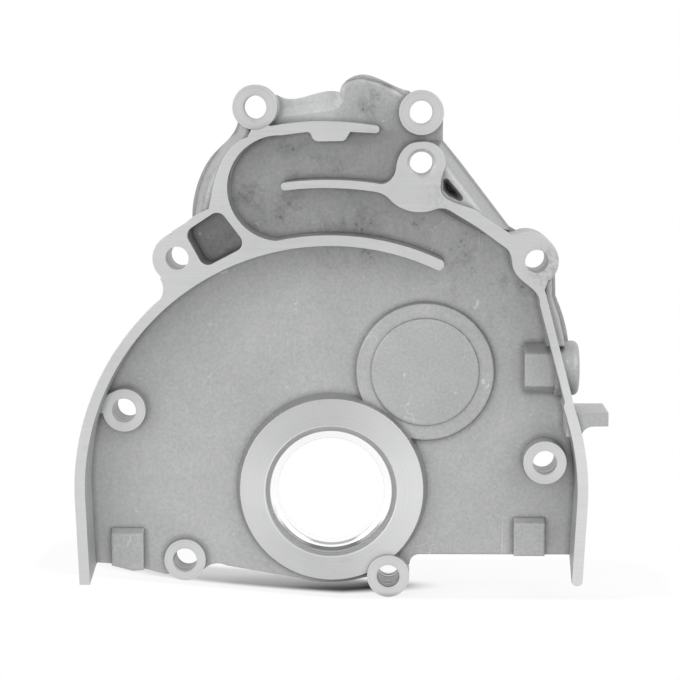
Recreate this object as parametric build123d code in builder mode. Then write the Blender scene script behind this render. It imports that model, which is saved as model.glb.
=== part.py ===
from build123d import *
import os

os.makedirs("parts", exist_ok=True)

# All sizes in mm. X runs right, Z up, Y back from the machined joint face (y = 0).
# The origin is on the axis of the shaft opening, in the joint face.

# Depths behind the joint face
floor_depth = 19.5
plate_thickness = 4.5
plate_back = floor_depth + plate_thickness
shoulder_depth = 2.5
square_pocket_depth = 20.5

# The D-shaped cavity: its wall follows one circle round the shaft
cavity_center = (0.3, 2.3)
cavity_radius = 96.2
wall_thickness = 4.1
outer_radius = cavity_radius + wall_thickness
left_edge = cavity_center[0] - outer_radius
right_edge = cavity_center[0] + outer_radius
leg_bottom = -34.9
left_leg_lean = 1.4
right_leg_lean = 1.9

# Bolt holes, all for M8
bolt_hole_diameter = 9.0
wide_hole_diameter = 9.5
boss_diameter = 17.0
ear_diameter = 19.0
upper_boss_diameter = 17.2
spot_face_diameter = 17.2
bolt_head_room = 15.2
countersink_diameter = 11.4
left_ear_hole = (-58.7, 93.8)
right_ear_hole = (80.0, 92.4)
top_left_hole = (-28.3, 151.7)
top_right_hole = (35.6, 149.5)
upper_bolt_spacing = 19.4
upper_inner_hole = (top_right_hole[0], top_right_hole[1] - upper_bolt_spacing)
left_floor_hole = (-81.8, 32.4)
right_floor_hole = (84.4, 12.3)
lower_left_hole = (-58.6, -28.5)
lowest_hole = (22.7, -33.8)

# Front and back faces of the bolt bosses
left_floor_boss = (13.6, 32.4)
right_floor_boss = (9.7, 28.5)
lower_left_boss = (16.5, 31.7)
lowest_boss = (12.0, 37.4)
top_left_boss = (0.8, 12.0)
bolt_head_center = (top_left_hole[0] - 0.5, top_left_hole[1] + 0.8)
upper_right_spot_face = 22.0
right_ear_back = 27.0

# Shaft seal housing
ring_center = (0.3, 0.8)
ring_face_depth = 13.0
ring_face_diameter = 72.6
ring_draft = 15.0
recess_diameter = 52.0
recess_depth = 0.8
recess_step_diameter = 50.0
recess_step_depth = 1.5
lead_in_diameter = 48.0
lead_in_depth = 1.6
shaft_opening_diameter = 42.4
seal_seat_diameter = 52.0
seal_seat_depth = 7.5
seat_chamfer = 0.8
hub_back = 32.0
hub_diameter = 66.0
lead_in_front = ring_face_depth + recess_step_depth
seal_seat_front = hub_back - seal_seat_depth

# Second round pad
pad_center = (37.3, 47.4)
pad_diameter = 55.4
pad_height = 3.0
pad_draft = 12.0
disc_diameter = 42.4
disc_height = 0.6

# Port boss through the right wall
port_depth = 18.0
port_height = 48.9
port_inner_radius = 9.7
port_outer_radius = 10.8
port_flat_depth = 10.5
port_inner_end = 76.3
port_outer_end = 97.6
port_outer_start = 88.0
port_edge_fillet = 2.5
port_bore_diameter = 14.0
port_bore_length = 15.0

# Side lug
lug_front = 1.0
lug_back = 26.0
lug_top = 33.6
lug_height = 5.4
lug_root = right_edge - 8.6
lug_end = right_edge + 7.6

# Low pads on the floor beside the legs
foot_pad_height = 3.0
foot_pad_slope = 2.2

# Cast roundings
shoulder_fillet = 3.0
top_ledge_drop = 2.2
top_ledge_slope = 55.0
casting_draft = 13.0


def at_depth(depth):
    return Plane.XZ.offset(-depth)


def circle_block(center, diameter, faces, mode=Mode.ADD):
    front, back = faces
    with BuildSketch(at_depth(back), mode=Mode.PRIVATE) as disc:
        with Locations(center):
            Circle(diameter / 2)
    extrude(disc.sketch, amount=back - front, mode=mode)


with BuildPart() as cover:
    # The plate: outline of the whole casting, without the ends of the legs
    with BuildSketch(at_depth(plate_back)):
        with BuildLine():
            left_arc = CenterArc(cavity_center, outer_radius, 183.6, -52.8)
            Line(left_arc @ 1, (-58.0, 92.0))
            Line((-58.0, 92.0), (-54.4, 108.6))
            Spline((-54.4, 108.6), (-52.9, 119.4), (-45.7, 133.4), (-37.4, 142.4), (-36.0, 146.6))
            Line((-36.0, 146.6), top_left_hole)
            Line(top_left_hole, (-20.9, 156.3))
            Spline((-20.9, 156.3), (-15.7, 154.7), (-6.9, 156.4), (4.0, 157.2))
            Spline((4.0, 157.2), (4.6, 159.7), (6.6, 161.9), (11.8, 164.1), (19.6, 162.3), (31.1, 157.7))
            Line((31.1, 157.7), top_right_hole)
            Line(top_right_hole, (44.2, top_right_hole[1]))
            Line((44.2, top_right_hole[1]), (44.2, 138.4))
            Line((44.2, 138.4), (50.6, 130.6))
            Line((50.6, 130.6), (70.1, 104.9))
            Line((70.1, 104.9), (74.4, 102.2))
            Line((74.4, 102.2), right_ear_hole)
            Line(right_ear_hole, (88.4, 86.4))
            Line((88.4, 86.4), (88.6, 77.6))
            Spline((88.6, 77.6), (90.2, 73.6), (91.8, 68.9), (93.6, 60.8))
            right_arc = CenterArc(cavity_center, outer_radius, 18.9, -22.9)
            Line((93.6, 60.8), right_arc @ 0)
            Line(right_arc @ 1, (right_edge - right_leg_lean, -26.5))
            Line((right_edge - right_leg_lean, -26.5), (35.2, -26.5))
            ThreePointArc((35.2, -26.5), (32.4, -27.6), (31.2, -30.4))
            Line((31.2, -30.4), lowest_hole)
            Line(lowest_hole, (12.6, -36.2))
            ThreePointArc((12.6, -36.2), (0.5, -38.0), (-14.1, -36.1))
            Line((-14.1, -36.1), (-42.3, -31.3))
            ThreePointArc((-42.3, -31.3), (-47.5, -30.7), (-51.2, -32.8))
            Line((-51.2, -32.8), (-58.6, -34.0))
            Line((-58.6, -34.0), (-66.9, -34.8))
            Line((-66.9, -34.8), (-75.2, -32.7))
            Line((-75.2, -32.7), (-79.4, -33.0))
            Line((-79.4, -33.0), (-89.1, -30.6))
            Line((-89.1, -30.6), (left_edge + left_leg_lean, -30.0))
            Line((left_edge + left_leg_lean, -30.0), left_arc @ 0)
        make_face()
    extrude(amount=plate_thickness)

    # Above the top rib the floor slopes back to a ledge, and a bevel runs on round the lobe
    with BuildSketch(at_depth(floor_depth)):
        with BuildLine():
            Polyline((-30.0, 146.7), (-16.0, 148.3), (0.0, 150.4), (3.2, 151.2), (5.1, 154.3))
            ThreePointArc((5.1, 154.3), (7.0, 160.2), (12.2, 162.6))
            ThreePointArc((12.2, 162.6), (19.6, 160.9), (27.4, 156.9))
            Polyline((27.4, 156.9), (32.0, 154.0), (32.0, 170.0), (-30.0, 170.0), (-30.0, 146.7))
        make_face()
    extrude(amount=-top_ledge_drop, taper=top_ledge_slope, mode=Mode.SUBTRACT)

    # Shoulder at the upper left
    with BuildSketch(at_depth(floor_depth)):
        with BuildLine():
            shoulder_arc = ThreePointArc((-53.4, 106.0), (-48.4, 127.6), (-36.6, 142.0))
            Polyline(shoulder_arc @ 1, (-32.5, 151.5), (-24.0, 151.5), (-36.0, 106.0), shoulder_arc @ 0)
        make_face()
    extrude(amount=floor_depth - shoulder_depth, taper=casting_draft)
    left_crest = cover.edges().filter_by_position(Axis.Y, shoulder_depth - 0.01, shoulder_depth + 0.01)
    fillet(left_crest.filter_by(GeomType.CIRCLE), shoulder_fillet)

    # Shoulder at the upper right, a ridge along the edge
    with BuildSketch(at_depth(floor_depth)):
        Polygon(
            (43.6, 138.1),
            (70.6, 103.0),
            (60.0, 102.0),
            (42.0, 112.0),
            (36.0, 122.0),
            (36.0, 138.1),
            align=None,
        )
    extrude(amount=floor_depth - shoulder_depth, taper=casting_draft)
    right_crest = cover.edges().filter_by_position(Axis.Y, shoulder_depth - 0.01, shoulder_depth + 0.01)
    right_crest = right_crest.filter_by_position(Axis.X, 30.0, 80.0)
    fillet(right_crest.sort_by(SortBy.LENGTH)[-1], shoulder_fillet)

    # Narrow ledge outside the right wall
    with BuildSketch(at_depth(plate_back)):
        Polygon(
            (82.0, 86.0),
            (87.6, 86.0),
            (87.8, 77.4),
            (90.6, 69.6),
            (93.4, 57.0),
            (84.0, 57.0),
            align=None,
        )
    extrude(amount=plate_back - 8.0, taper=6)

    # Upper left pocket, cut back to the floor
    with BuildSketch(at_depth(floor_depth)):
        with BuildLine():
            ThreePointArc((-19.2, 140.1), (-39.1, 120.2), (-19.2, 100.3))
            Line((-19.2, 100.3), (27.0, 118.0))
            Line((27.0, 118.0), (27.0, 133.0))
            Line((27.0, 133.0), (-8.0, 141.4))
            Line((-8.0, 141.4), (-19.2, 140.1))
        make_face()
    extrude(amount=floor_depth, mode=Mode.SUBTRACT)

    # Machined wall of the cavity: left leg and arc, up to the free end of the arc rib
    with BuildSketch(at_depth(plate_back)):
        with BuildLine():
            outer_arc = CenterArc(cavity_center, outer_radius, 183.6, -119.2)
            inner_arc = CenterArc(cavity_center, cavity_radius, 64.4, 119.2)
            ThreePointArc(outer_arc @ 1, (outer_arc @ 1 + inner_arc @ 0) / 2 + (1.4, -0.6), inner_arc @ 0)
            Polyline(
                inner_arc @ 1,
                (left_edge + left_leg_lean + wall_thickness, leg_bottom),
                (left_edge + left_leg_lean, leg_bottom),
                outer_arc @ 0,
            )
        make_face()
    extrude(amount=plate_back)

    # Machined wall: left ear, pocket wall and top rib
    with BuildSketch(at_depth(plate_back)):
        with BuildLine():
            ThreePointArc((-65.2, 78.2), (-64.2, 82.0), (-65.4, 86.0))
            Line((-65.4, 86.0), left_ear_hole)
            Line(left_ear_hole, (-60.5, 104.2))
            Line((-60.5, 104.2), (-55.4, 107.4))
            Line((-55.4, 107.4), (-51.6, 110.4))
            Line((-51.6, 110.4), (-46.2, 112.9))
            Spline((-46.2, 112.9), (-44.4, 121.5), (-40.6, 131.8), (-34.8, 138.6), (-31.0, 140.3))
            Line((-31.0, 140.3), (-28.3, 146.0))
            Line((-28.3, 146.0), (-22.1, 144.5))
            Spline((-22.1, 144.5), (-14.3, 145.6), (2.5, 146.1), (18.2, 144.5))
            ThreePointArc((18.2, 144.5), (19.5, 143.0), (17.9, 141.7))
            Line((17.9, 141.7), (8.3, 142.2))
            Line((8.3, 142.2), (7.0, 140.0))
            ThreePointArc((7.0, 140.0), (6.2, 139.1), (5.0, 138.7))
            Line((5.0, 138.7), (-3.8, 138.6))
            ThreePointArc((-3.8, 138.6), (-5.5, 139.2), (-6.5, 140.8))
            ThreePointArc((-6.5, 140.8), (-7.1, 141.8), (-8.2, 142.2))
            Line((-8.2, 142.2), (-18.0, 141.0))
            ThreePointArc((-18.0, 141.0), (-39.1, 120.6), (-19.2, 100.4))
            Line((-19.2, 100.4), (-18.8, 98.6))
            ThreePointArc((-18.8, 98.6), (-42.8, 90.6), (-63.9, 76.6))
            Line((-63.9, 76.6), (-65.2, 78.2))
        make_face()
        with Locations(left_ear_hole):
            Circle(ear_diameter / 2)
    extrude(amount=plate_back)

    # Machined wall of the cavity: curved right wall and leg
    with BuildSketch(at_depth(plate_back)):
        with BuildLine():
            wall_outer_arc = CenterArc(cavity_center, outer_radius, 17.4, -21.4)
            wall_inner_arc = CenterArc(cavity_center, cavity_radius, -4.0, 21.4)
            Line(wall_inner_arc @ 1, wall_outer_arc @ 0)
            leg_outside = right_edge - right_leg_lean
            Line(wall_outer_arc @ 1, (leg_outside, -33.6))
            ThreePointArc((leg_outside, -33.6), (leg_outside - 1.7, -34.8), (leg_outside - wall_thickness, -33.8))
            Line((leg_outside - wall_thickness, -33.8), wall_inner_arc @ 0)
        make_face()
    extrude(amount=plate_back)

    # Machined wall: middle rib, bolt pad, web, right ear and straight right wall
    with BuildSketch(at_depth(plate_back)):
        with BuildLine():
            ThreePointArc((-16.5, 119.9), (-18.3, 121.0), (-17.0, 122.9))
            ThreePointArc((-17.0, 122.9), (0.5, 123.9), (18.5, 122.5))
            Spline((18.5, 122.5), (22.6, 122.9), (25.5, 126.5), (26.1, 129.8), (28.0, 134.5), (35.2, 138.3))
            ThreePointArc((35.2, 138.3), (42.4, 136.0), (44.8, 128.8))
            Spline((44.8, 128.8), (43.0, 122.8), (43.5, 118.4), (47.0, 115.6), (58.8, 110.3))
            Line((58.8, 110.3), (69.7, 102.7))
            Line((69.7, 102.7), (73.4, 103.2))
            Spline((73.4, 103.2), (78.5, 103.7), (84.9, 100.3), (88.3, 93.8), (87.1, 87.7), (84.2, 85.0))
            Line((84.2, 85.0), (83.1, 81.4))
            Line((83.1, 81.4), (95.2, 34.8))
            Line((95.2, 34.8), (96.2, 31.6))
            Line((96.2, 31.6), (92.4, 30.6))
            Line((92.4, 30.6), (90.8, 35.6))
            Line((90.8, 35.6), (91.2, 37.9))
            Line((91.2, 37.9), (81.3, 75.6))
            Spline((81.3, 75.6), (79.6, 80.6), (73.8, 85.6), (71.0, 89.6), (70.3, 93.6), (68.4, 97.4))
            Line((68.4, 97.4), (57.3, 105.5))
            Line((57.3, 105.5), (46.6, 112.0))
            ThreePointArc((46.6, 112.0), (43.3, 112.9), (40.0, 112.2))
            ThreePointArc((40.0, 112.2), (31.0, 111.9), (24.3, 115.4))
            Spline((24.3, 115.4), (21.6, 117.9), (17.8, 119.3))
            ThreePointArc((17.8, 119.3), (0.5, 120.8), (-16.5, 119.9))
        make_face()
    extrude(amount=plate_back)

    # Valley between the web and the ridge of the upper right shoulder
    with BuildSketch(at_depth(0.0)):
        with BuildLine():
            FilletPolyline(
                (43.6, 127.5),
                (43.0, 119.6),
                (46.0, 116.6),
                (56.0, 112.4),
                (50.4, 119.6),
                radius=1.5,
                close=True,
            )
        make_face()
    extrude(amount=-12.0, taper=12, mode=Mode.SUBTRACT)

    # Port boss, half buried in the right wall, with its front flattened inside
    with BuildSketch(Plane.YZ.offset(port_inner_end)):
        with Locations((port_depth, port_height)):
            Circle(port_inner_radius)
        with Locations((port_flat_depth, port_height)):
            Rectangle(port_inner_radius, 2 * port_inner_radius, align=(Align.MAX, Align.CENTER), mode=Mode.SUBTRACT)
    extrude(amount=port_outer_start - port_inner_end)

    # Outer end of the port boss, with a rounded rim
    port_axis = Axis((0.0, port_depth, port_height), (1.0, 0.0, 0.0))
    with BuildSketch(Plane(port_axis.position)):
        with BuildLine():
            FilletPolyline(
                (port_outer_start, port_outer_radius),
                (port_outer_end, port_outer_radius),
                (port_outer_end, 0.0),
                radius=port_edge_fillet,
            )
            Polyline((port_outer_end, 0.0), (port_outer_start, 0.0), (port_outer_start, port_outer_radius))
        make_face()
    revolve(axis=port_axis)

    # Lug on the right side
    with BuildSketch(at_depth(lug_back)):
        with BuildLine():
            Line((lug_root, lug_top), (lug_end, lug_top))
            Line((lug_end, lug_top), (lug_end, lug_top - lug_height))
            Line((lug_end, lug_top - lug_height), (lug_end - 6.3, 28.1))
            ThreePointArc((lug_end - 6.3, 28.1), (lug_end - 8.9, 27.0), (lug_end - 10.6, 24.0))
            Line((lug_end - 10.6, 24.0), (lug_root, 24.0))
            Line((lug_root, 24.0), (lug_root, lug_top))
        make_face()
    extrude(amount=lug_back - lug_front)

    # Raised second pad and its inner disc
    with BuildSketch(at_depth(floor_depth)):
        with Locations(pad_center):
            Circle(pad_diameter / 2)
    extrude(amount=pad_height, taper=pad_draft)
    circle_block(pad_center, disc_diameter, (floor_depth - pad_height - disc_height, floor_depth))

    # Low pads near the bottom edge, sloped at the top
    with BuildSketch(at_depth(floor_depth)):
        Polygon((-88.0, -30.8), (-88.0, -16.0), (-75.2, -16.0), (-75.2, -32.6), (-79.4, -33.0), align=None)
        Polygon((72.7, -26.5), (72.7, -11.4), (85.0, -11.4), (85.0, -26.5), align=None)
    extrude(amount=foot_pad_height)
    foot_pad_edges = (
        cover.edges()
        .filter_by_position(Axis.Y, floor_depth - foot_pad_height - 0.01, floor_depth - foot_pad_height + 0.01)
        .filter_by(Axis.X)
        .filter_by_position(Axis.Z, -17.0, -11.0)
    )
    chamfer(foot_pad_edges, foot_pad_slope)

    # Bosses for the bolts that pass through the floor
    circle_block(left_floor_hole, boss_diameter, left_floor_boss)
    with BuildSketch(at_depth(floor_depth)):
        with Locations((-88.0, 35.6)):
            Rectangle(10.0, 6.0, rotation=24)
    extrude(amount=floor_depth - left_floor_boss[0])
    circle_block(right_floor_hole, boss_diameter, right_floor_boss)
    circle_block(lower_left_hole, boss_diameter - 0.4, lower_left_boss)
    circle_block(lowest_hole, boss_diameter - 0.2, lowest_boss)

    # Bosses of the upper bolts; behind the top left one only its inner half runs on to the back
    circle_block(top_left_hole, upper_boss_diameter, (0.0, top_left_boss[1]))
    with BuildSketch(at_depth(plate_back)):
        with Locations(top_left_hole):
            Circle(upper_boss_diameter / 2)
            Rectangle(30.0, 20.0, rotation=32.7, align=(Align.CENTER, Align.MIN), mode=Mode.SUBTRACT)
    extrude(amount=plate_back - top_left_boss[1])
    circle_block(top_right_hole, upper_boss_diameter, (0.0, plate_back))
    circle_block(right_ear_hole, boss_diameter, (floor_depth, right_ear_back))

    # Ring boss of the shaft seal, and its hub on the outer side
    with BuildSketch(at_depth(ring_face_depth)):
        with Locations(ring_center):
            Circle(ring_face_diameter / 2)
    extrude(amount=-(floor_depth - ring_face_depth), taper=-ring_draft)
    circle_block((0.0, 0.0), hub_diameter, (floor_depth, hub_back))

    # Everything the shaft and its seal need cut away
    circle_block((0.3, 0.5), recess_diameter, (0.0, ring_face_depth + recess_depth), mode=Mode.SUBTRACT)
    with BuildSketch(Plane.YZ):
        with BuildLine():
            Polyline(
                (0.0, 0.0),
                (0.0, recess_step_diameter / 2),
                (lead_in_front, recess_step_diameter / 2),
                (lead_in_front, lead_in_diameter / 2),
                (lead_in_front + lead_in_depth, shaft_opening_diameter / 2),
                (seal_seat_front, shaft_opening_diameter / 2),
                (seal_seat_front, seal_seat_diameter / 2),
                (hub_back - seat_chamfer, seal_seat_diameter / 2),
                (hub_back, seal_seat_diameter / 2 + seat_chamfer),
                (hub_back, 0.0),
                close=True,
            )
        make_face()
    revolve(axis=Axis.Y, mode=Mode.SUBTRACT)

    # Deep square pocket beside the left ear
    with BuildSketch(at_depth(square_pocket_depth)):
        with BuildLine():
            FilletPolyline(
                (-42.2, 112.6),
                (-31.6, 98.6),
                (-48.2, 90.0),
                (-55.8, 103.8),
                radius=3.6,
                close=True,
            )
        make_face()
    extrude(amount=square_pocket_depth, mode=Mode.SUBTRACT)

    # Step back the top left boss, and make room behind it for a bolt head
    circle_block(top_left_hole, upper_boss_diameter, (-1.0, top_left_boss[0]), mode=Mode.SUBTRACT)
    circle_block(bolt_head_center, bolt_head_room, (top_left_boss[1], plate_back + 1.0), mode=Mode.SUBTRACT)

    # Slope the ends of the legs
    with BuildSketch(Plane.YZ.offset(left_edge - 1.0)):
        Polygon(
            (0.0, leg_bottom),
            (floor_depth, -31.0),
            (plate_back + 1.0, -31.0),
            (plate_back + 1.0, leg_bottom - 5.0),
            (0.0, leg_bottom - 5.0),
            align=None,
        )
    extrude(amount=10.0, mode=Mode.SUBTRACT)
    with BuildSketch(Plane.YZ.offset(lug_root)):
        Polygon(
            (0.0, leg_bottom),
            (floor_depth, -26.5),
            (plate_back + 1.0, -26.5),
            (plate_back + 1.0, leg_bottom - 5.0),
            (0.0, leg_bottom - 5.0),
            align=None,
        )
    extrude(amount=10.0, mode=Mode.SUBTRACT)

    # Spot faces behind the two upper bolts on the right
    for hole in (top_right_hole, upper_inner_hole):
        circle_block(hole, spot_face_diameter, (upper_right_spot_face, plate_back), mode=Mode.SUBTRACT)

    # Bolt holes
    for hole in (left_ear_hole, right_ear_hole, top_left_hole, top_right_hole, upper_inner_hole, lowest_hole):
        circle_block(hole, bolt_hole_diameter, (0.0, lowest_boss[1]), mode=Mode.SUBTRACT)
    for hole in (left_floor_hole, right_floor_hole, lower_left_hole):
        circle_block(hole, wide_hole_diameter, (0.0, lowest_boss[1]), mode=Mode.SUBTRACT)

    # Shallow machined countersink round the inner upper bolt hole
    with Locations(at_depth(0.0).location * Location((upper_inner_hole[0], upper_inner_hole[1], 0.0))):
        CounterSinkHole(
            radius=bolt_hole_diameter / 2,
            counter_sink_radius=countersink_diameter / 2,
            depth=plate_back,
            counter_sink_angle=130,
        )

    # Blind bore of the port, from the outside
    with BuildSketch(Plane.YZ.offset(port_outer_end)):
        with Locations((port_depth, port_height)):
            Circle(port_bore_diameter / 2)
    extrude(amount=-port_bore_length, mode=Mode.SUBTRACT)

cover.part.label = "cover"
print("cover volume", round(cover.part.volume), "solids", len(cover.part.solids()))
export_step(cover.part, "parts/cover.step")
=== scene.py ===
import math

import bpy
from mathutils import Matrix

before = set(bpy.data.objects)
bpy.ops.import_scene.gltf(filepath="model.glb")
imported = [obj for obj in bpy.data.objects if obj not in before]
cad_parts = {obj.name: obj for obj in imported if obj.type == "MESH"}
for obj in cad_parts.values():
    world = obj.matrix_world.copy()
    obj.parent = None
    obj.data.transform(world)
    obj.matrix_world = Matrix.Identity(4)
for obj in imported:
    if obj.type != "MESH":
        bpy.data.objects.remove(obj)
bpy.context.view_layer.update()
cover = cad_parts["cover"]
print("frame loaded")

mm = 0.001
crisp = 0.05 * mm  # half the width of a mask's sharp edge
soft = 0.1 * mm


class Signal:
    # a socket in a node tree, with sums written as plain Python
    def __init__(self, tree, socket=None):
        self.tree = tree
        self.socket = socket

    def node(self, kind, settings=None, inputs=None, output=0):
        made = self.tree.nodes.new(kind)
        for name, value in (settings or {}).items():
            setattr(made, name, value)
        for name, value in (inputs or {}).items():
            if isinstance(value, Signal):
                self.tree.links.new(value.socket, made.inputs[name])
            else:
                made.inputs[name].default_value = value
        return Signal(self.tree, made.outputs[output] if made.outputs else None)

    def sum(self, operation, first, second=0.0):
        return self.node("ShaderNodeMath", {"operation": operation}, {0: first, 1: second})

    def __add__(self, other):
        return self.sum("ADD", self, other)

    def __radd__(self, other):
        return self.sum("ADD", other, self)

    def __sub__(self, other):
        return self.sum("SUBTRACT", self, other)

    def __rsub__(self, other):
        return self.sum("SUBTRACT", other, self)

    def __mul__(self, other):
        return self.sum("MULTIPLY", self, other)

    def __rmul__(self, other):
        return self.sum("MULTIPLY", other, self)

    def __truediv__(self, other):
        return self.sum("DIVIDE", self, other)

    def __pow__(self, other):
        return self.sum("POWER", self, other)

    def __abs__(self):
        return self.sum("ABSOLUTE", self)

    def most(self, other):
        return self.sum("MAXIMUM", self, other)

    def hypotenuse(self, other):
        return self.sum("SQRT", self * self + other * other)

    def above(self, edge, softness):  # 0 below the edge, 1 above it
        return self.node("ShaderNodeMapRange", {"interpolation_type": "SMOOTHSTEP"},
                         {"Value": self, "From Min": edge - softness, "From Max": edge + softness})

    def below(self, edge, softness):
        return 1 - self.above(edge, softness)

    def blend(self, first, second):  # the first where this is 0, the second where it is 1
        return first + (second - first) * self

    def colours(self, first, second):
        return self.node("ShaderNodeMix", {"data_type": "RGBA"}, {0: self, 6: first, 7: second}, 2)

    def tinted(self, tone):  # a colour made darker or lighter by a grey tone
        return self.node("ShaderNodeMix", {"data_type": "RGBA", "blend_type": "MULTIPLY"},
                         {0: 1.0, 6: self, 7: tone}, 2)

    def noise(self, scale, detail, roughness):
        return self.node("ShaderNodeTexNoise", {},
                         {"Vector": self, "Scale": scale, "Detail": detail, "Roughness": roughness})

    def lines(self, scale, detail, roughness):  # a noise along one value only
        return self.node("ShaderNodeTexNoise", {"noise_dimensions": "1D"},
                         {"W": self, "Scale": scale, "Detail": detail, "Roughness": roughness})

    def cells(self, scale):  # the distance to the nearest of many scattered points
        return self.node("ShaderNodeTexVoronoi", {}, {"Vector": self, "Scale": scale, "Randomness": 1.0})

    def scattered(self, scale, detail, roughness, edge, softness):
        return self.noise(scale, detail, roughness).above(edge, softness)

    def turned(self, degrees, stretch):  # the pattern turned about Y, then squeezed along each axis
        angle = (0, math.radians(degrees), 0)
        return self.node("ShaderNodeMapping", {}, {"Vector": self, "Rotation": angle, "Scale": stretch})


def newMaterial(name):
    material = bpy.data.materials.new(name)
    material.use_nodes = True
    tree = material.node_tree
    tree.nodes.clear()
    return material, Signal(tree)


def axesOf(vector):
    parts = vector.node("ShaderNodeSeparateXYZ", {}, {0: vector}).socket.node
    return [Signal(vector.tree, parts.outputs[i]) for i in range(3)]


def roundAbout(x, z, centreX, centreZ):  # how far to the right of a centre in mm, and how far from it
    across = x - centreX * mm
    return across, across.hypotenuse(z - centreZ * mm)


# centre x and z, radius of the face, front and back face depth, radius of the bore, all in mm,
# how strong the turned face's painted glint is, lighter to the left and right of its centre, and how strong
# its rings are
machinedSpots = {
    "sealRing": (0.3, 0.8, 36.4, 13.0, 32.0, 0.0, 0.28, 0.3),
    "leftEar": (-58.7, 93.8, 9.4, 0.0, 24.0, 4.8, 0.0, 0.0),
    "rightEar": (80.0, 92.4, 9.4, 0.0, 27.0, 4.8, 0.0, 0.0),
    "topLeft": (-28.3, 151.7, 8.7, 0.8, 12.0, 4.8, 0.05, 1.0),
    "topRight": (35.6, 149.5, 8.7, 0.0, 22.0, 4.8, 0.05, 1.0),
    "upperInner": (35.6, 130.1, 7.2, 0.0, 22.0, 4.6, 0.0, 0.6),
    "leftFloor": (-81.8, 32.4, 8.6, 13.6, 32.4, 5.0, 0.05, 0.9),
    "rightFloor": (84.4, 12.3, 8.6, 9.7, 28.5, 5.0, 0.05, 0.9),
    "lowerLeft": (-58.6, -28.5, 8.4, 16.5, 31.7, 5.0, 0.05, 0.9),
    "lowest": (22.7, -33.8, 8.5, 12.0, 37.4, 4.8, 0.05, 0.9),
}

machinedMasks = {  # the middle of each mask's edge, and half its width
    "jointFace": (0.15 * mm, crisp),
    "spotFace": (0.2 * mm, crisp),
    "paintedGlintLean": 0.28,  # how much more painted glint the right side of a turned face gets
    "ringNoise": (1150.0, 3.0, 0.7),
}


def machinedFaces(x, y, z, flat):  # the joint face, and a round face and bore at each bolt and the shaft
    cut = y.below(*machinedMasks["jointFace"]) * flat
    bored, turned, turnedReach, ringShare, paintedGlints = [x * 0] * 5
    for centreX, centreZ, radius, front, back, bore, glint, ringed in machinedSpots.values():
        across, reach = roundAbout(x, z, centreX, centreZ)
        atFront = abs(y - front * mm).below(*machinedMasks["spotFace"])
        atBack = abs(y - back * mm).below(*machinedMasks["spotFace"])
        face = reach.below(radius * mm, soft) * atFront.most(atBack) * flat
        cut = cut.most(face)
        bored = bored.most(reach.below(bore * mm, crisp))
        if ringed:
            turned = turned.most(face)
            turnedReach = turnedReach + face * reach
            ringShare = ringShare.most(face * ringed)
            lean = across / (reach + soft)  # -1 at the left of the centre, 1 at the right
            # painted glint: the turned face lighter to the left and right of its centre, darker above and
            # below it
            paintedGlints = paintedGlints + face * glint * (lean * lean - 0.5 + machinedMasks["paintedGlintLean"] * lean)
    rings = (turnedReach.lines(*machinedMasks["ringNoise"]) - 0.5) * ringShare
    return {"cut": cut, "bored": bored, "turned": turned, "rings": rings, "paintedGlints": paintedGlints}


shaftSteps = {  # radii, heights and depths, each with half the width of its edge, and tones, mostly painted highlight, reflection and shade
    "rim": (26.5 * mm, 0.15 * mm),
    "recess": (26.05 * mm, soft),
    "cone": (24.1 * mm, soft),
    "upperPart": (12 * mm, 8 * mm),
    "lowerPart": (-9 * mm, 7 * mm),
    "front": (12.8 * mm, soft),
    "back": (24.4 * mm, crisp),
    "coneShadeUpTo": (15.25 * mm, soft),  # painted shade darkens the cone's lower part up to this depth
    "boreShadeFrom": (15.65 * mm, soft),  # then comes a light line, and painted shade on the bore's lower part starts
    "boreShadeUpTo": (17.3 * mm, soft),
    # painted light: a highlight on the rim, a white reflection on the cone and bore, and shade in their
    # lower part; the recess tone is just darker
    "rimPaintedHighlight": 0.24,
    "rimTopPaintedHighlight": 0.20,  # added to the rim's painted highlight above the shaft
    "recessTone": -0.31,
    "conePaintedLight": 0.95,
    "coneShadeTone": -0.70,
    "boreShadeTone": -0.18,
}


def turnedSteps(x, y, z):  # round the shaft: a painted highlight on the rim, a darker recess, then the cone and bore painted near white as a reflection, with painted shade low down
    reach = x.hypotenuse(z)
    rim = reach.below(*shaftSteps["rim"])
    recess = reach.below(*shaftSteps["recess"])
    cone = reach.below(*shaftSteps["cone"])
    dark = y.below(*shaftSteps["coneShadeUpTo"]) * (shaftSteps["coneShadeTone"] - shaftSteps["conePaintedLight"])
    boreShade = y.above(*shaftSteps["boreShadeFrom"]) * y.below(*shaftSteps["boreShadeUpTo"])
    boreShade = boreShade * (shaftSteps["boreShadeTone"] - shaftSteps["conePaintedLight"])
    # the rim's painted highlight, and the cone's painted reflection with painted shade in its lower part
    rimPaintedHighlight = shaftSteps["rimPaintedHighlight"] + shaftSteps["rimTopPaintedHighlight"] * z.above(*shaftSteps["upperPart"])
    conePaintedLight = shaftSteps["conePaintedLight"] + z.below(*shaftSteps["lowerPart"]) * (dark + boreShade)
    tone = rimPaintedHighlight * (rim - recess) + shaftSteps["recessTone"] * (recess - cone) + conePaintedLight * cone
    tone = tone * y.below(*shaftSteps["back"]) * y.above(*shaftSteps["front"])
    return rim, cone, tone


# centre x and z and reach, in mm, and how much lighter or darker the place is
lighterPlaces = {
    # painted light on the top ledge, which slopes up into the light, and on the open lobe; the low floor is
    # just lighter
    "topLedge": (-9.0, 150.5, 15.0, 0.33),
    "lobe": (24.0, 160.0, 14.0, 0.07),
    "lowFloor": (-20.0, 0.0, 90.0, 0.06),
}

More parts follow.
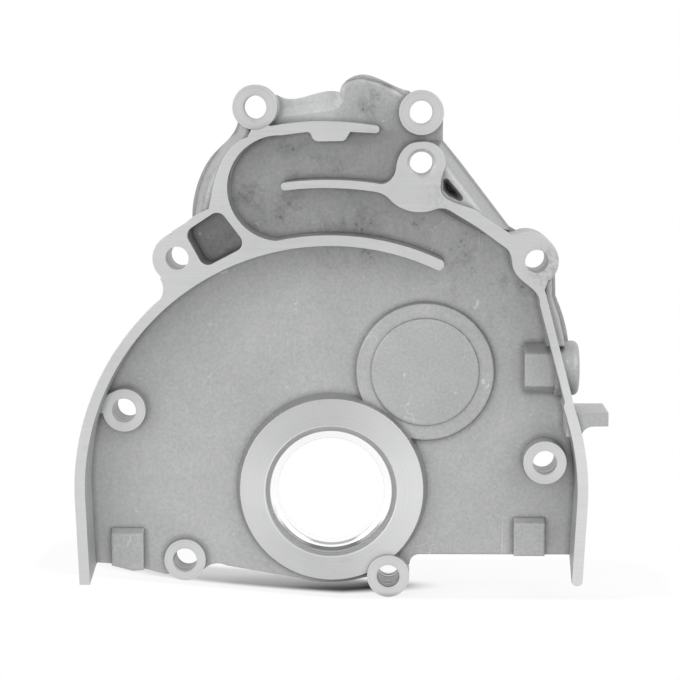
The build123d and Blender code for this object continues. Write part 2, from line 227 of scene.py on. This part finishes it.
# darker places: painted shade in the labyrinth, pockets and hollows where the walls keep the light out,
# with real stains in blots, also on the lobe
shadeAndStains = {
    "labyrinthUpper": (-6.0, 131.0, 26.0, 0.10),
    "labyrinthLeft": (-26.0, 117.0, 20.0, 0.16),
    "labyrinthLower": (4.0, 109.0, 26.0, 0.13),
    "labyrinthOutlet": (36.0, 103.0, 18.0, 0.07),
    "lobe": (20.0, 152.0, 12.0, 0.20),
    "upperRight": (62.0, 84.0, 24.0, 0.14),
    "squarePocket": (-44.6, 101.4, 12.0, 0.16),
    "leftShoulder": (-48.0, 124.0, 13.0, 0.24),
}

scuffs = {  # places where the cut face is rougher and darker
    "rightEar": (84.5, 90.5, 10.0, 0.16),
    "upperPad": (44.0, 119.0, 9.0, 0.08),
}

patchEdge = (0.75, 0.45)  # the middle of a patch's soft edge and half its width, as shares of its reach


def patchesAt(x, z, places):
    patches = x * 0
    for centreX, centreZ, radius, strength in places.values():
        reach = roundAbout(x, z, centreX, centreZ)[1]
        patch = reach.below(radius * mm * patchEdge[0], radius * mm * patchEdge[1])
        patches = patches.most(patch * strength)
    return patches


castMetal = {
    "colour": (0.462, 0.464, 0.467, 1),
    "roughness": 0.56,
    "metallic": 0.72,
    "edgeRadius": 1.2 * mm,
    "creviceReach": 2.4 * mm,
    "creviceSamples": 5,
    "wallCrevice": 0.5,  # the share of the inner corners' painted shade that walls don't get
    "wornBend": (0.05, 0.04),  # an edge is worn and gets a painted highlight where the rounding bends it more than this
    "wornCorner": (0.86, 0.08),  # and where the place is more open than this
    "reliefDepth": 0.10 * mm,
    "reliefStrength": 0.30,
    "mottlingHeight": 1.5,  # compared with the grain's height
    "knockHeight": 0.8,
    "mottlingRoughness": 0.16,
    "knockRoughness": -0.12,
    # how much each of these makes the skin lighter, or darker below zero
    "mottling": 0.42,
    "grain": 0.50,
    "clouds": 0.08,
    "pits": -0.24,
    "knocks": 0.26,
    "housing": -0.16,  # painted shade on the outside flank of the shaft's seal housing
    "sideWallLight": 0.14,  # painted light on the walls at the left and right end
    "paintedCreviceShade": -0.80,  # painted shade in the inner corners
    # outer edges lighter, partly wear and partly a painted highlight
    "wornEdgeHighlight": 0.20,
}

castPatterns = {  # scale, detail and roughness of a noise, and the edge of what counts with half its width
    "mottling": (26.0, 6.0, 0.62),
    "clouds": (7.0, 2.0, 0.5),
    "grain": (950.0, 3.0, 0.65),
    "blots": (75.0, 5.0, 0.66),
    "stainBlots": (0.55, 0.09),
    "patchPlain": 0.28,  # a patch's plain painted shade outside its blots, and what the blots, real stains, add
    "stainBlotted": 1.5,
    "pitScale": 480.0,
    "pits": (0.32, 0.10),
    "pitBlots": (0.60, 0.03),
    "pitStains": (0.06, 0.03),
    "curls": (80.0, 2.0, 0.5),
    "curlLines": (0.005, 0.004),
    "curlPlaces": (110.0, 1.0, 0.6, 0.63, 0.03),
    "strokeTurn": 24,
    "strokeStretch": (900, 40, 22),
    "strokes": (1.0, 2.0, 0.5, 0.70, 0.03),
    "strokePlaces": (36.0, 1.0, 0.6, 0.58, 0.05),
    "strokeShare": 0.7,
    "speckScale": 170.0,
    "specks": (0.075, 0.03),
    "speckPlaces": (55.0, 1.0, 0.6, 0.56, 0.04),
    "speckShare": 0.8,
    "housingRadius": (38.6 * mm, 0.5 * mm),
    "housingDepth": (19.2 * mm, 0.4 * mm),
    "sideWallFrom": (82 * mm, 5 * mm),
    "sideWallUpTo": (60 * mm, 20 * mm),
}


def knocksAt(place):  # fine curls, straight strokes and specks in the casting's skin
    curls = abs(place.noise(*castPatterns["curls"]) - 0.5).below(*castPatterns["curlLines"])
    curls = curls * place.scattered(*castPatterns["curlPlaces"])
    strokes = place.turned(castPatterns["strokeTurn"], castPatterns["strokeStretch"])
    strokes = strokes.scattered(*castPatterns["strokes"]) * place.scattered(*castPatterns["strokePlaces"])
    specks = place.cells(castPatterns["speckScale"]).below(*castPatterns["specks"])
    specks = specks * place.scattered(*castPatterns["speckPlaces"])
    return curls.most(strokes * castPatterns["strokeShare"]).most(specks * castPatterns["speckShare"])


# the cast skin's tone: real mottling, grain, stains, pits and knocks, with painted light and shade in
# places
def castTone(place, upright, mottling, clouds, grain, knocks):
    x, y, z = axesOf(place)
    blots = place.noise(*castPatterns["blots"])
    blotted = castPatterns["stainBlotted"] * blots.above(*castPatterns["stainBlots"])
    # painted shade over each darker place, with real stains in its blots
    stainsAndShade = patchesAt(x, z, shadeAndStains) * (castPatterns["patchPlain"] + blotted)
    pits = place.cells(castPatterns["pitScale"]).below(*castPatterns["pits"])
    pits = pits * blots.above(*castPatterns["pitBlots"]) * stainsAndShade.above(*castPatterns["pitStains"])
    # painted shade on the flank of the shaft's seal housing
    housing = x.hypotenuse(z).below(*castPatterns["housingRadius"]) * y.below(*castPatterns["housingDepth"])
    # painted light on the upright walls at the left and right end
    sideWallLight = upright * abs(x).above(*castPatterns["sideWallFrom"])
    sideWallLight = sideWallLight * z.below(*castPatterns["sideWallUpTo"])
    tone = 1 + castMetal["mottling"] * mottling + castMetal["grain"] * grain + castMetal["clouds"] * clouds
    # painted light on the lighter places, and painted shade with real stains on the darker ones
    tone = tone + patchesAt(x, z, lighterPlaces) - stainsAndShade
    tone = tone + castMetal["pits"] * pits + castMetal["knocks"] * knocks
    return tone + castMetal["housing"] * housing + castMetal["sideWallLight"] * sideWallLight


machinedMetal = {
    "colour": (0.570, 0.572, 0.576, 1),
    "roughness": 0.34,
    "edgeRadius": 0.35 * mm,
    "edgeDepth": (1.2 * mm, soft),  # the edges down to this depth are as sharp as that
    "edgeSamples": 4,
    "plainScuff": 0.3,  # a scuff's share outside its rough spots, and what those add
    "roughScuff": 1.4,
    "markRoughness": 0.10,
    "coneRoughness": -0.16,  # the polished cone and bore round the shaft
    "ringHeight": 0.5,
    "markHeight": 0.15,
    # how much each of these makes the metal lighter, or darker below zero
    "toolMarks": 0.26,
    "ringMarks": 0.46,
    "mottling": 0.24,
    "clouds": 0.10,
    "bruises": -0.08,
    "deepFaceLight": 0.10,  # painted light on the turned faces down in the cavity
    "lowFace": 0.10,  # the lower part of the joint face
    "leftFace": 0.06,  # its upper left part
    "rightRim": 0.12,  # its lower right end
    "boltBoreShade": -0.60,  # painted shade inside the drilled bores
    "boreRings": 4.6,
}

machinedPatterns = {  # numbers in the same order as in castPatterns
    "markTurn": -8,
    "markStretch": (40, 200, 1300),
    "marks": (1.0, 4.0, 0.7),
    "boreRings": (420.0, 3.0, 0.7),
    "bruises": (90.0, 4.0, 0.7, 0.66, 0.05),
    "roughSpots": (420.0, 3.0, 0.6, 0.52, 0.10),
    "deepFrom": (5 * mm, 1 * mm),
    "lowUpTo": (60 * mm, 50 * mm),
    "leftUpTo": (-38 * mm, 14 * mm),
    "upperFrom": (60 * mm, 40 * mm),
    "rimFrom": (88 * mm, 6 * mm),
    "rimUpTo": (60 * mm, 10 * mm),
}


def machinedTone(place, faces, marks, mottling, clouds):
    x, y, z = axesOf(place)
    cut = faces["cut"]
    tone = 1 + machinedMetal["toolMarks"] * marks * (1 - faces["turned"])
    # tool rings on the turned faces, and their painted glint
    tone = tone + machinedMetal["ringMarks"] * faces["rings"] + faces["paintedGlints"]
    tone = tone + machinedMetal["mottling"] * mottling + machinedMetal["clouds"] * clouds
    tone = tone + machinedMetal["bruises"] * place.scattered(*machinedPatterns["bruises"])
    roughSpots = machinedMetal["roughScuff"] * place.scattered(*machinedPatterns["roughSpots"])
    tone = tone - patchesAt(x, z, scuffs) * (machinedMetal["plainScuff"] + roughSpots)
    # painted light on the turned faces down in the cavity
    tone = tone + machinedMetal["deepFaceLight"] * faces["turned"] * y.above(*machinedPatterns["deepFrom"])
    lowFace = z.below(*machinedPatterns["lowUpTo"]) * (1 - faces["turned"]) * cut
    leftFace = x.below(*machinedPatterns["leftUpTo"]) * z.above(*machinedPatterns["upperFrom"]) * cut
    rightRim = x.above(*machinedPatterns["rimFrom"]) * z.below(*machinedPatterns["rimUpTo"]) * cut
    tone = tone + machinedMetal["lowFace"] * lowFace + machinedMetal["leftFace"] * leftFace
    tone = tone + machinedMetal["rightRim"] * rightRim
    # painted shade inside the drilled bores, with drill rings along them
    boreRings = machinedMetal["boreRings"] * (y.lines(*machinedPatterns["boreRings"]) - 0.5)
    return tone + (machinedMetal["boltBoreShade"] + boreRings) * faces["bored"] * (1 - cut)


facingSteps = {  # how squarely a face looks along the depth, from 0 to 1: edge and half its width
    "flat": (0.985, 0.01),
    "upright": (0.5, 0.2),
}


def aluminiumCasting():
    material, start = newMaterial("aluminiumCasting")
    place = start.node("ShaderNodeTexCoord", output="Object")
    x, y, z = axesOf(place)
    facing = abs(axesOf(start.node("ShaderNodeTexCoord", output="Normal"))[1])
    upright = facing.below(*facingSteps["upright"])
    faces = machinedFaces(x, y, z, facing.above(*facingSteps["flat"]))
    # the shaft's tones carry painted highlight, reflection and shade
    rim, cone, shaftTone = turnedSteps(x, y, z)
    bright = faces["cut"].most(faces["bored"]).most(rim)

    mottling = place.noise(*castPatterns["mottling"]) - 0.5
    clouds = place.noise(*castPatterns["clouds"]) - 0.5
    grain = place.noise(*castPatterns["grain"]) - 0.5
    knocks = knocksAt(place)
    marks = place.turned(machinedPatterns["markTurn"], machinedPatterns["markStretch"])
    marks = marks.noise(*machinedPatterns["marks"]) - 0.5
    skin = castTone(place, upright, mottling, clouds, grain, knocks)
    cutTone = machinedTone(place, faces, marks, mottling, clouds) + shaftTone

    # painted shade in the inner corners, and outer edges rubbed a little lighter, partly wear and partly a
    # painted highlight
    corner = start.node("ShaderNodeAmbientOcclusion", {"samples": castMetal["creviceSamples"]},
                        {"Distance": castMetal["creviceReach"]}, "AO")
    sharp = y.below(*machinedMetal["edgeDepth"]).most(bright)
    edgeRadius = sharp.blend(castMetal["edgeRadius"], machinedMetal["edgeRadius"])
    rounded = start.node("ShaderNodeBevel", {"samples": machinedMetal["edgeSamples"]},
                         {"Radius": edgeRadius})
    flatNormal = start.node("ShaderNodeNewGeometry", output="Normal")
    bend = start.node("ShaderNodeVectorMath", {"operation": "DOT_PRODUCT"},
                      {0: rounded, 1: flatNormal}, "Value")
    # outer edges lighter, partly wear and partly a painted highlight
    wornLitEdge = (1 - bend).above(*castMetal["wornBend"]) * corner.above(*castMetal["wornCorner"])
    paintedCreviceShade = castMetal["paintedCreviceShade"] * (1 - castMetal["wallCrevice"] * upright) * (1 - corner) * (1 - rim)
    shade = 1 + paintedCreviceShade + castMetal["wornEdgeHighlight"] * wornLitEdge

    colour = bright.colours(castMetal["colour"], machinedMetal["colour"])
    colour = colour.tinted(bright.blend(skin, cutTone) * shade)
    castRoughness = castMetal["roughness"] + castMetal["mottlingRoughness"] * mottling
    castRoughness = castRoughness + castMetal["knockRoughness"] * knocks
    cutRoughness = machinedMetal["roughness"] + machinedMetal["markRoughness"] * marks
    cutRoughness = cutRoughness + machinedMetal["coneRoughness"] * cone
    castHeight = grain + castMetal["mottlingHeight"] * mottling + castMetal["knockHeight"] * knocks
    cutHeight = machinedMetal["ringHeight"] * faces["rings"] + machinedMetal["markHeight"] * marks
    relief = start.node("ShaderNodeBump", {}, {
        "Strength": castMetal["reliefStrength"],
        "Distance": castMetal["reliefDepth"],
        "Height": bright.blend(castHeight, cutHeight),
        "Normal": rounded,
    })
    surface = start.node("ShaderNodeBsdfPrincipled", {}, {
        "Base Color": colour,
        "Roughness": bright.blend(castRoughness, cutRoughness),
        "Metallic": castMetal["metallic"],
        "Normal": relief,
    })
    start.node("ShaderNodeOutputMaterial", {}, {"Surface": surface})
    return material


cover.data.materials.clear()
cover.data.materials.append(aluminiumCasting())
print("cover dressed")

studio = {
    "floorSize": 6.0,
    "floorGrey": 0.55,
    "seenGrey": 0.97,
    "underCover": (4 * mm, 106 * mm, 20 * mm, 52 * mm),  # centre x, half width, front and back
    "leftLean": 0.36,  # how fast the shadow draws back to the left of that centre
    "sideFade": 30 * mm,  # the floor turns plain white over these distances from there
    "frontFade": 13 * mm,
    "backFade": 34 * mm,
    "fadeEdge": (0.5, 0.5),
    "shadowCore": (-30 * mm, 32 * mm, 78 * mm, 18.5 * mm),  # centre x and y, half width and half depth
    "coreEdge": (0.8, 0.2),
    "shadowVeil": 0.89,  # how much white lies over the shadow outside its core
    # a painted contact shadow: how far it reaches and how strongly it darkens the floor's colour
    "contactReach": 30 * mm,
    "contactPower": 1.3,
    "contactSamples": 6,
    "worldLevel": 0.75,
    "lampAim": (0, 0, 60 * mm),
    "keyPower": 8.0,
    "keySize": 1.2,
    "keyPlace": (1.15, -0.90, 0.85),
    "fillPower": 7.0,
    "fillSize": 1.0,
    "fillPlace": (-1.20, -0.85, 0.60),
}


def rayKinds(start):
    path = start.node("ShaderNodeLightPath").socket.node
    return [Signal(start.tree, path.outputs[name])
            for name in ("Is Camera Ray", "Is Glossy Ray", "Is Transmission Ray")]


def makeFloor():
    lowest = min(corner.co.z for corner in cover.data.vertices)
    bpy.ops.mesh.primitive_plane_add(size=studio["floorSize"], location=(0, 0, lowest))
    floor = bpy.context.object
    floor.name = "floor"
    material, start = newMaterial("paleFloor")
    x, y = axesOf(start.node("ShaderNodeTexCoord", output="Object"))[:2]
    camera, glossy, clear = rayKinds(start)
    centreX, halfWidth, front, back = studio["underCover"]
    sideways = (abs(x - centreX) - halfWidth).most(0.0) / studio["sideFade"]
    depth = y - studio["leftLean"] * (centreX - x).most(0.0)
    along = ((front - depth) / studio["frontFade"]).most((depth - back) / studio["backFade"]).most(0.0)
    plain = sideways.hypotenuse(along).above(*studio["fadeEdge"])
    centreX, centreY, halfWidth, halfDepth = studio["shadowCore"]
    core = ((x - centreX) / halfWidth).hypotenuse((depth - centreY) / halfDepth)
    veiled = plain.most(studio["shadowVeil"] * (1 - core.below(*studio["coreEdge"])))
    # painted contact shadow on the floor's colour, on top of the shadow the lamps cast
    paintedContactShadow = start.node("ShaderNodeAmbientOcclusion", {"samples": studio["contactSamples"]},
                         {"Distance": studio["contactReach"]}, "AO")
    grey = camera.blend(studio["floorGrey"], studio["seenGrey"] * (paintedContactShadow ** studio["contactPower"]))
    lit = start.node("ShaderNodeBsdfDiffuse", {}, {"Color": grey})
    white = start.node("ShaderNodeEmission", {}, {"Color": (1, 1, 1, 1), "Strength": 1.0})
    share = (camera * veiled).most(glossy.most(clear) * plain)
    mixed = start.node("ShaderNodeMixShader", {}, {0: share, 1: lit, 2: white})
    start.node("ShaderNodeOutputMaterial", {}, {"Surface": mixed})
    floor.data.materials.append(material)


def makeWorld():
    world = bpy.data.worlds.new("paleRoom")
    bpy.context.scene.world = world
    world.use_nodes = True
    world.node_tree.nodes.clear()
    start = Signal(world.node_tree)
    camera, glossy, clear = rayKinds(start)
    level = camera.most(glossy).most(clear).blend(studio["worldLevel"], 1)
    light = start.node("ShaderNodeBackground", {}, {"Color": (1, 1, 1, 1), "Strength": level})
    start.node("ShaderNodeOutputWorld", {}, {"Surface": light})


def makeLamp(name, place, power, size):
    lamp = bpy.data.lights.new(name, "AREA")
    lamp.shape = "SQUARE"
    lamp.size = size
    lamp.energy = power
    holder = bpy.data.objects.new(name, lamp)
    bpy.context.scene.collection.objects.link(holder)
    holder.location = place
    way = [a - b for a, b in zip(studio["lampAim"], place)]
    tilt = math.atan2(math.hypot(way[0], way[1]), -way[2])
    holder.rotation_euler = (tilt, 0, math.atan2(-way[0], way[1]))


makeFloor()
makeWorld()
makeLamp("keyLamp", studio["keyPlace"], studio["keyPower"], studio["keySize"])
makeLamp("fillLamp", studio["fillPlace"], studio["fillPower"], studio["fillSize"])
print("studio lit")

photoView = {
    "place": (26.217 * mm, -823.186 * mm, 158.067 * mm),
    "tiltDown": 6.6517,  # degrees
    "turnLeft": -1.5236,
    "lens": 113.45,
    "filmWidth": 36.0,
    "clipStart": 10 * mm,
}


def makeCamera():
    lens = bpy.data.cameras.new("photoCamera")
    lens.sensor_width = photoView["filmWidth"]
    lens.lens = photoView["lens"]
    lens.clip_start = photoView["clipStart"]
    holder = bpy.data.objects.new("photoCamera", lens)
    bpy.context.scene.collection.objects.link(holder)
    holder.location = photoView["place"]
    holder.rotation_mode = "ZYX"
    tilt = math.radians(90 - photoView["tiltDown"])
    holder.rotation_euler = (tilt, math.radians(-photoView["turnLeft"]), 0)
    bpy.context.scene.camera = holder


makeCamera()
bpy.context.scene.view_settings.view_transform = "Standard"
